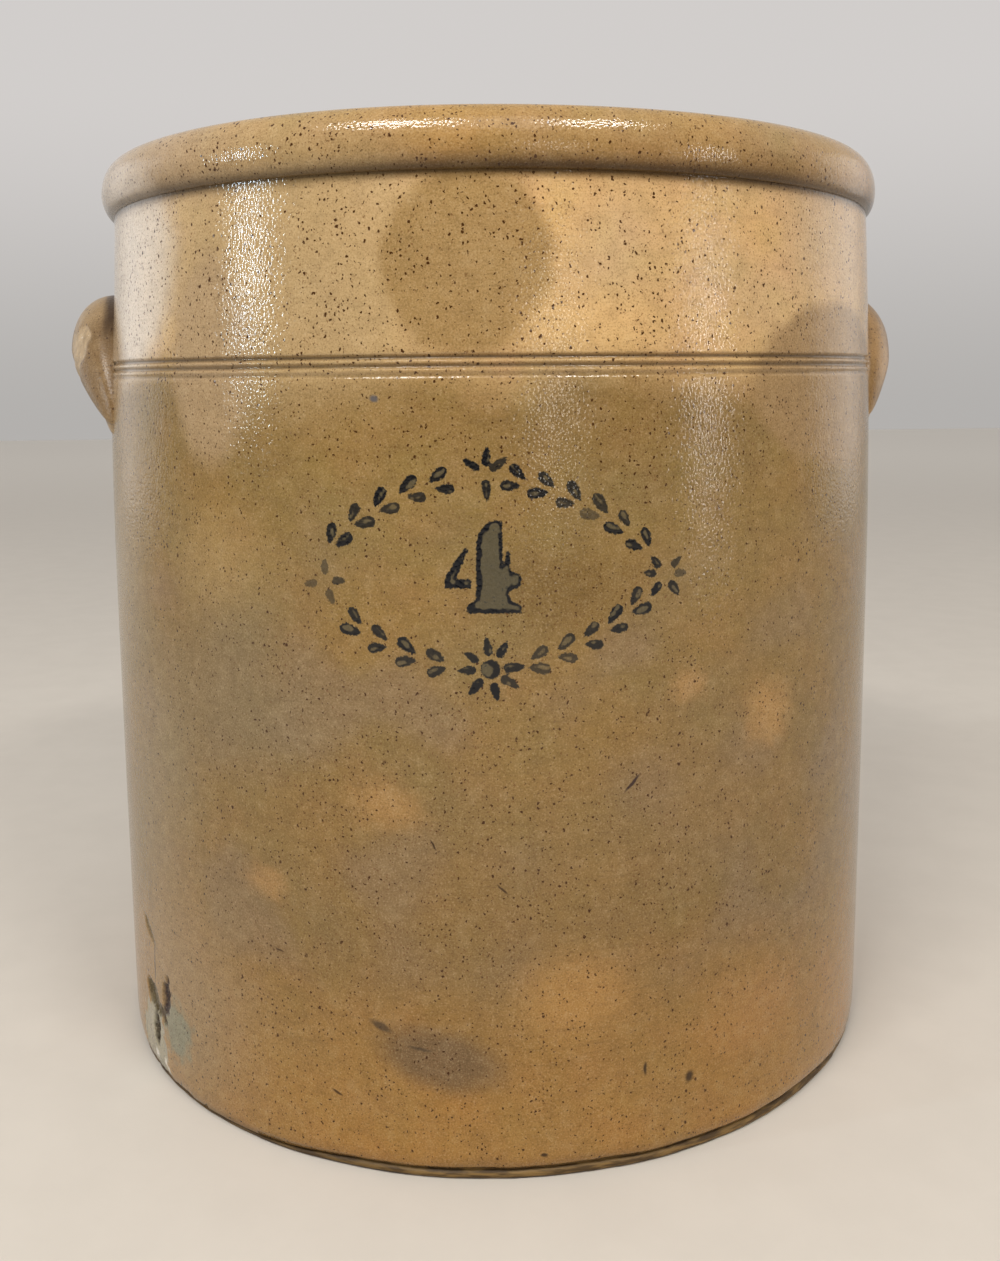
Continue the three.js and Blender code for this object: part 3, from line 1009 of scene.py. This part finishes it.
markShares = {name: markShare(readPoints(bodyPiece), mark) for name, mark in kilnAndLightMarks.items()}
wearFoot(bodyPiece, markShares)
paintGlazeAndLight(bodyPiece, markShares)
for piece in (bodyPiece, liningPiece, rightEar, leftEar):
    pickPiece(piece)
    bpy.ops.object.shade_smooth_by_angle(angle=math.radians(60))
earGlaze = earFinish()
dress(bodyPiece, bodyFinish(), "crock_body")
dress(liningPiece, slipFinish(), "slip_lining")
dress(rightEar, earGlaze, "right_ear_handle")
dress(leftEar, earGlaze, "left_ear_handle")

print("Stage: table, soft lights and camera")

stage = {
    "behind": (0.64, 0.615, 0.60, 1),  # studio walls behind and before the crock, and its ceiling
    "skirting": (0.45, 0.435, 0.42, 1),
    "before": (0.18, 0.176, 0.172, 1),
    "ceiling": (0.62, 0.60, 0.57, 1),
    # angle from the camera's side, height angle, distance, width, height, watts, tint
    "lights": {
        "left window": (-67, 13.3, 1.5, 0.04, 0.33, 3.4, (0.72, 0.88, 1.0)),
        "right window": (60, 6, 1.6, 0.04, 0.5, 2.0, (0.98, 0.98, 1.0)),
        "front window": (17, 6, 1.8, 0.12, 0.26, 1.2, (1.0, 0.93, 0.82)),
        "left wall": (-118, 10, 1.6, 0.8, 0.8, 1.4, (0.96, 0.98, 1.0)),
        "right wall": (118, 10, 1.6, 0.8, 0.8, 1.6, (1.0, 0.98, 0.95)),
        "overhead left": (-28, 48, 1.6, 0.6, 0.18, 13.0, (1.0, 0.97, 0.92)),
        "overhead right": (34, 48, 1.6, 0.45, 0.16, 9.0, (1.0, 0.97, 0.92)),
        "front ceiling": (0, 48, 2.2, 1.2, 1.0, 6.5, (1.0, 0.95, 0.88)),
    },
}
camera = {
    "imageSize": (1000, 1261),
    "focalPixels": 1220.6,
    "opticalRow": 523.6,  # image row of the lens axis
    "place": (3.1, -471.6, 234.8),  # mm, before the turn to the stencilled side
    "pitch": -6.87,
    "roll": 0.46,
}

startPiece()
bpy.ops.mesh.primitive_plane_add(size=table["size"])
floor = bpy.context.object
floor.name = "pale_table"
floor.data.materials.append(tableFinish())
floor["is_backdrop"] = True

world = bpy.data.worlds.new("pale studio")
world.use_nodes = True
bpy.context.scene.world = world
sky = world.node_tree
facing = addNode(sky, "TexCoord", {}).outputs["Generated"]
toFront = (0, 0, math.radians(-frontTurn))
facing = addNode(sky, "Mapping", {"Vector": facing, "Rotation": toFront}).outputs[0]
parts = addNode(sky, "SeparateXYZ", {"Vector": facing}).outputs
backWall = mixColour(sky, easeBetween(sky, parts["Z"], -0.04, 0.22), stage["skirting"], stage["behind"])
walls = mixColour(sky, easeBetween(sky, parts["Y"], -0.5, 0.5), stage["before"], backWall)
walls = mixColour(sky, easeBetween(sky, parts["Z"], 0.4, 0.9), walls, stage["ceiling"])
sky.links.new(walls, sky.nodes["Background"].inputs["Color"])

aim = Vector((0, 0, crockHeight * mm / 2))
for name, (angle, rise, far, width, tall, watts, tint) in stage["lights"].items():
    turn = math.radians(angle + frontTurn)
    lift = math.radians(rise)
    away = Vector((math.sin(turn) * math.cos(lift), -math.cos(turn) * math.cos(lift), math.sin(lift)))
    startPiece()
    bpy.ops.object.light_add(type="AREA", location=aim + away * far)
    lamp = bpy.context.object
    lamp.name = name
    lamp.rotation_euler = (-away).to_track_quat("-Z", "Y").to_euler()
    lamp.data.shape = "RECTANGLE"
    lamp.data.size = width
    lamp.data.size_y = tall
    lamp.data.energy = watts
    lamp.data.color = tint
    lamp.visible_camera = False

startPiece()
turnFront = Matrix.Rotation(math.radians(frontTurn), 4, "Z")
bpy.ops.object.camera_add(location=turnFront @ (Vector(camera["place"]) * mm))
viewer = bpy.context.object
tilt = Matrix.Rotation(math.radians(90 + camera["pitch"]), 4, "X")
twist = Matrix.Rotation(math.radians(-camera["roll"]), 4, "Z")
viewer.rotation_euler = (turnFront @ tilt @ twist).to_euler()
imageTall = camera["imageSize"][1]
viewer.data.sensor_width = 36
viewer.data.lens = camera["focalPixels"] / imageTall * viewer.data.sensor_width
viewer.data.shift_y = (camera["opticalRow"] - imageTall / 2) / imageTall
viewer.data.clip_start = 0.01
bpy.context.scene.camera = viewer
bpy.context.scene.view_settings.view_transform = "Standard"

shownLow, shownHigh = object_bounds()
for name, sides in {"solid": cadHigh - cadLow, "shown": shownHigh - shownLow}.items():
    print("Size in mm,", name + ":", [round(side / mm, 2) for side in sides])
